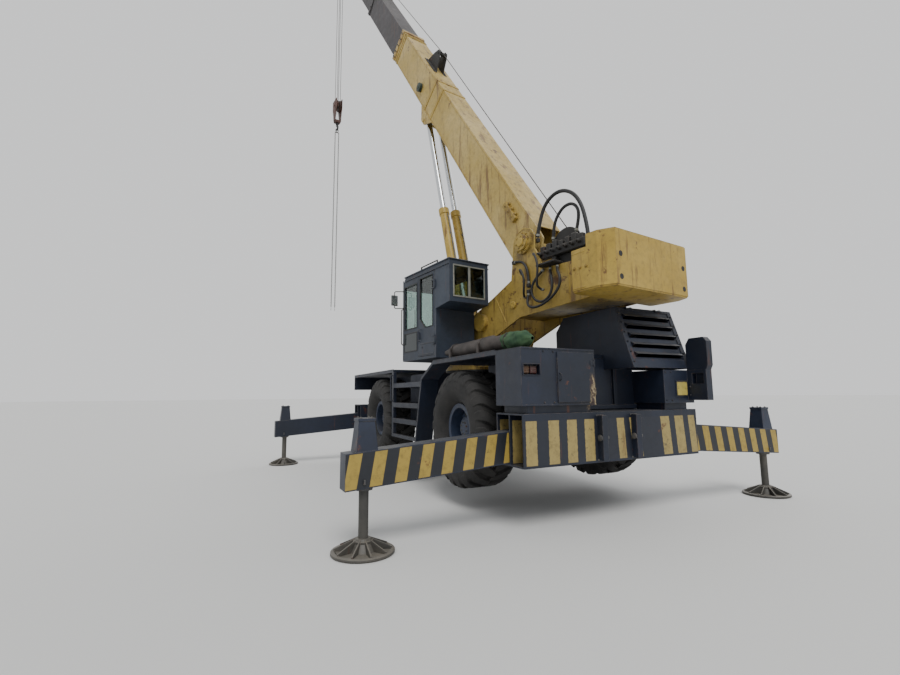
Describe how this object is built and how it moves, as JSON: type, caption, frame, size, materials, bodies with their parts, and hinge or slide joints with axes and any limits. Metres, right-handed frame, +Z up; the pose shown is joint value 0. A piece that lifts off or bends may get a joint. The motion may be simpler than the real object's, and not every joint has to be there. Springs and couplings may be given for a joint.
{
  "type": "mobile crane",
  "caption": "Two-axle rough-terrain mobile crane on sloping outriggers, telescopic boom raised, cab beside the boom, hook block and chain sling hanging.",
  "frame": {"origin": "middle of the bounding box's footprint, on the ground under the outrigger feet", "axes": "+X towards the vehicle's left, +Y towards its rear, +Z up"},
  "size_m": [7.0944, 13.3032, 19.9516],
  "materials": {
    "boom_yellow": "faded cream yellow paint with rust streaks",
    "cab_blue": "faded slate blue paint",
    "cab_glass": "tinted window glass",
    "carrier_blue": "faded gloss paint with scuffs and rust",
    "chain": "dull alloy chain",
    "engine": "engine block",
    "exhaust": "sooty heated steel",
    "jack_steel": "greasy ground steel and black foot",
    "rim": "blue grey paint",
    "rod_steel": "ground and plated rods",
    "rope": "greased wire rope",
    "seat": "worn black vinyl",
    "section_grey": "dark grey brown paint and grease",
    "steel_dark": "oily dark castings",
    "stripe_beam": "blue paint with yellow hazard stripes",
    "tyre": "worn rubber, grey with dust"
  },
  "bodies": {
    "carrier": {"chassis_frame": "carrier_blue", "slew_ring": "steel_dark", "rear_outrigger_box": "stripe_beam", "front_outrigger_box": "carrier_blue", "front_axle": "steel_dark", "rear_axle": "steel_dark", "front_deck": "carrier_blue", "rear_deck": "carrier_blue", "side_tanks": "carrier_blue", "steps": "carrier_blue", "rear_lockers": "carrier_blue", "engine_hood": "carrier_blue", "engine_block": "engine", "silencer": "exhaust", "tow_hitch": "steel_dark"},
    "superstructure": {"turntable_frame": "boom_yellow", "counterweight": "boom_yellow", "cab_shell": "cab_blue", "cab_glass": "cab_glass", "cab_seat": "seat", "winch": "steel_dark"},
    "cab_door": {"cab_door": "cab_blue", "cab_door_glass": "cab_glass"},
    "boom_base": {"boom_base": "boom_yellow"},
    "boom_2": {"boom_2": "section_grey"},
    "boom_3": {"boom_3": "section_grey"},
    "boom_4": {"boom_4": "section_grey", "head_sheaves": "steel_dark"},
    "lift_rods": {"lift_rods": "rod_steel"},
    "lift_barrels": {"lift_barrels": "boom_yellow"},
    "falls": {"hoist_falls": "rope"},
    "hook": {"hook_block": "steel_dark", "chain_sling": "chain"},
    "knuckle_front_left": {"knuckle_front_left": "steel_dark"},
    "wheel_front_left": {"tyre_front_left": "tyre", "rim_front_left": "rim"},
    "beam_front_left": {"beam_front_left": "stripe_beam"},
    "jack_front_left": {"jack_front_left": "jack_steel"},
    "knuckle_front_right": {"knuckle_front_right": "steel_dark"},
    "wheel_front_right": {"tyre_front_right": "tyre", "rim_front_right": "rim"},
    "beam_front_right": {"beam_front_right": "stripe_beam"},
    "jack_front_right": {"jack_front_right": "jack_steel"},
    "knuckle_rear_left": {"knuckle_rear_left": "steel_dark"},
    "wheel_rear_left": {"tyre_rear_left": "tyre", "rim_rear_left": "rim"},
    "beam_rear_left": {"beam_rear_left": "stripe_beam"},
    "jack_rear_left": {"jack_rear_left": "jack_steel"},
    "knuckle_rear_right": {"knuckle_rear_right": "steel_dark"},
    "wheel_rear_right": {"tyre_rear_right": "tyre", "rim_rear_right": "rim"},
    "beam_rear_right": {"beam_rear_right": "stripe_beam"},
    "jack_rear_right": {"jack_rear_right": "jack_steel"}
  },
  "joints": [
    {"name": "slew", "type": "hinge", "parent": "carrier", "child": "superstructure", "pos_m": [0, 2.65162, 2.1], "axis": [0, 0, 1], "continuous": true},
    {"name": "boom_luff", "type": "hinge", "parent": "superstructure", "child": "boom_base", "pos_m": [-0.24102, 4.58666, 4.13], "axis": [-0.9923, -0.1236, 0], "range_deg": [-55.6, 15]},
    {"name": "telescope_2", "type": "slide", "parent": "boom_base", "child": "boom_2", "axis": [0.0698, -0.5606, 0.8251], "range_m": [-3.35, 2.6]},
    {"name": "telescope_3", "type": "slide", "parent": "boom_2", "child": "boom_3", "axis": [0.0698, -0.5606, 0.8251], "range_m": [-3, 2.33]},
    {"name": "telescope_4", "type": "slide", "parent": "boom_3", "child": "boom_4", "axis": [0.0698, -0.5606, 0.8251], "range_m": [-2.85, 2.21]},
    {"name": "lift_rod_swing", "type": "hinge", "parent": "boom_base", "child": "lift_rods", "pos_m": [0.21734, 0.90671, 8.37776], "axis": [-0.9923, -0.1236, 0], "range_deg": [-2.5, 1]},
    {"name": "lift_stroke", "type": "slide", "parent": "lift_rods", "child": "lift_barrels", "axis": [-0.0312, 0.2507, -0.9676], "range_m": [-2.47, 0.67]},
    {"name": "hook_swing", "type": "hinge", "parent": "boom_4", "child": "falls", "pos_m": [1.12896, -6.41224, 19.36181], "axis": [-0.9923, -0.1236, 0], "range_deg": [-15.5, 56]},
    {"name": "hoist", "type": "slide", "parent": "falls", "child": "hook", "axis": [0, 0, -1], "range_m": [-5.6, 0], "deforming": ["hoist_falls"]},
    {"name": "cab_door_hinge", "type": "hinge", "parent": "superstructure", "child": "cab_door", "pos_m": [1.3749, 3.44161, 3], "axis": [0, 0, 1], "range_deg": [0, 100]},
    {"name": "steer_front_left", "type": "hinge", "parent": "carrier", "child": "knuckle_front_left", "pos_m": [0.8, 0.64162, 1.13], "axis": [0, 0, 1], "range_deg": [-24, 24]},
    {"name": "spin_front_left", "type": "hinge", "parent": "knuckle_front_left", "child": "wheel_front_left", "pos_m": [1.226, 0.64162, 1.13], "axis": [1, 0, 0], "continuous": true},
    {"name": "beam_front_left", "type": "slide", "parent": "carrier", "child": "beam_front_left", "axis": [0.9972, 0, -0.075], "range_m": [-1.6, 0]},
    {"name": "jack_front_left", "type": "slide", "parent": "beam_front_left", "child": "jack_front_left", "axis": [0, 0, -1], "range_m": [-0.45, 0.1]},
    {"name": "steer_front_right", "type": "hinge", "parent": "carrier", "child": "knuckle_front_right", "pos_m": [-0.8, 0.64162, 1.13], "axis": [0, 0, 1], "range_deg": [-24, 24]},
    {"name": "spin_front_right", "type": "hinge", "parent": "knuckle_front_right", "child": "wheel_front_right", "pos_m": [-1.226, 0.64162, 1.13], "axis": [1, 0, 0], "continuous": true},
    {"name": "beam_front_right", "type": "slide", "parent": "carrier", "child": "beam_front_right", "axis": [-0.9972, 0, -0.075], "range_m": [-1.6, 0]},
    {"name": "jack_front_right", "type": "slide", "parent": "beam_front_right", "child": "jack_front_right", "axis": [0, 0, -1], "range_m": [-0.45, 0.1]},
    {"name": "steer_rear_left", "type": "hinge", "parent": "carrier", "child": "knuckle_rear_left", "pos_m": [0.8, 4.52161, 1.13], "axis": [0, 0, 1], "range_deg": [-24, 24]},
    {"name": "spin_rear_left", "type": "hinge", "parent": "knuckle_rear_left", "child": "wheel_rear_left", "pos_m": [1.226, 4.52161, 1.13], "axis": [1, 0, 0], "continuous": true},
    {"name": "beam_rear_left", "type": "slide", "parent": "carrier", "child": "beam_rear_left", "axis": [0.9972, 0, -0.075], "range_m": [-1.6, 0]},
    {"name": "jack_rear_left", "type": "slide", "parent": "beam_rear_left", "child": "jack_rear_left", "axis": [0, 0, -1], "range_m": [-0.45, 0.1]},
    {"name": "steer_rear_right", "type": "hinge", "parent": "carrier", "child": "knuckle_rear_right", "pos_m": [-0.8, 4.52161, 1.13], "axis": [0, 0, 1], "range_deg": [-24, 24]},
    {"name": "spin_rear_right", "type": "hinge", "parent": "knuckle_rear_right", "child": "wheel_rear_right", "pos_m": [-1.226, 4.52161, 1.13], "axis": [1, 0, 0], "continuous": true},
    {"name": "beam_rear_right", "type": "slide", "parent": "carrier", "child": "beam_rear_right", "axis": [-0.9972, 0, -0.075], "range_m": [-1.6, 0]},
    {"name": "jack_rear_right", "type": "slide", "parent": "beam_rear_right", "child": "jack_rear_right", "axis": [0, 0, -1], "range_m": [-0.45, 0.1]}
  ],
  "couplings": [
    {"joint": "lift_rod_swing", "follows": "boom_luff", "ratio": 0.04},
    {"joint": "lift_stroke", "follows": "boom_luff", "m_per_rad": 2.536},
    {"joint": "hook_swing", "follows": "boom_luff", "ratio": -1},
    {"joint": "steer_front_right", "follows": "steer_front_left", "ratio": 1},
    {"joint": "steer_rear_right", "follows": "steer_rear_left", "ratio": 1}
  ]
}
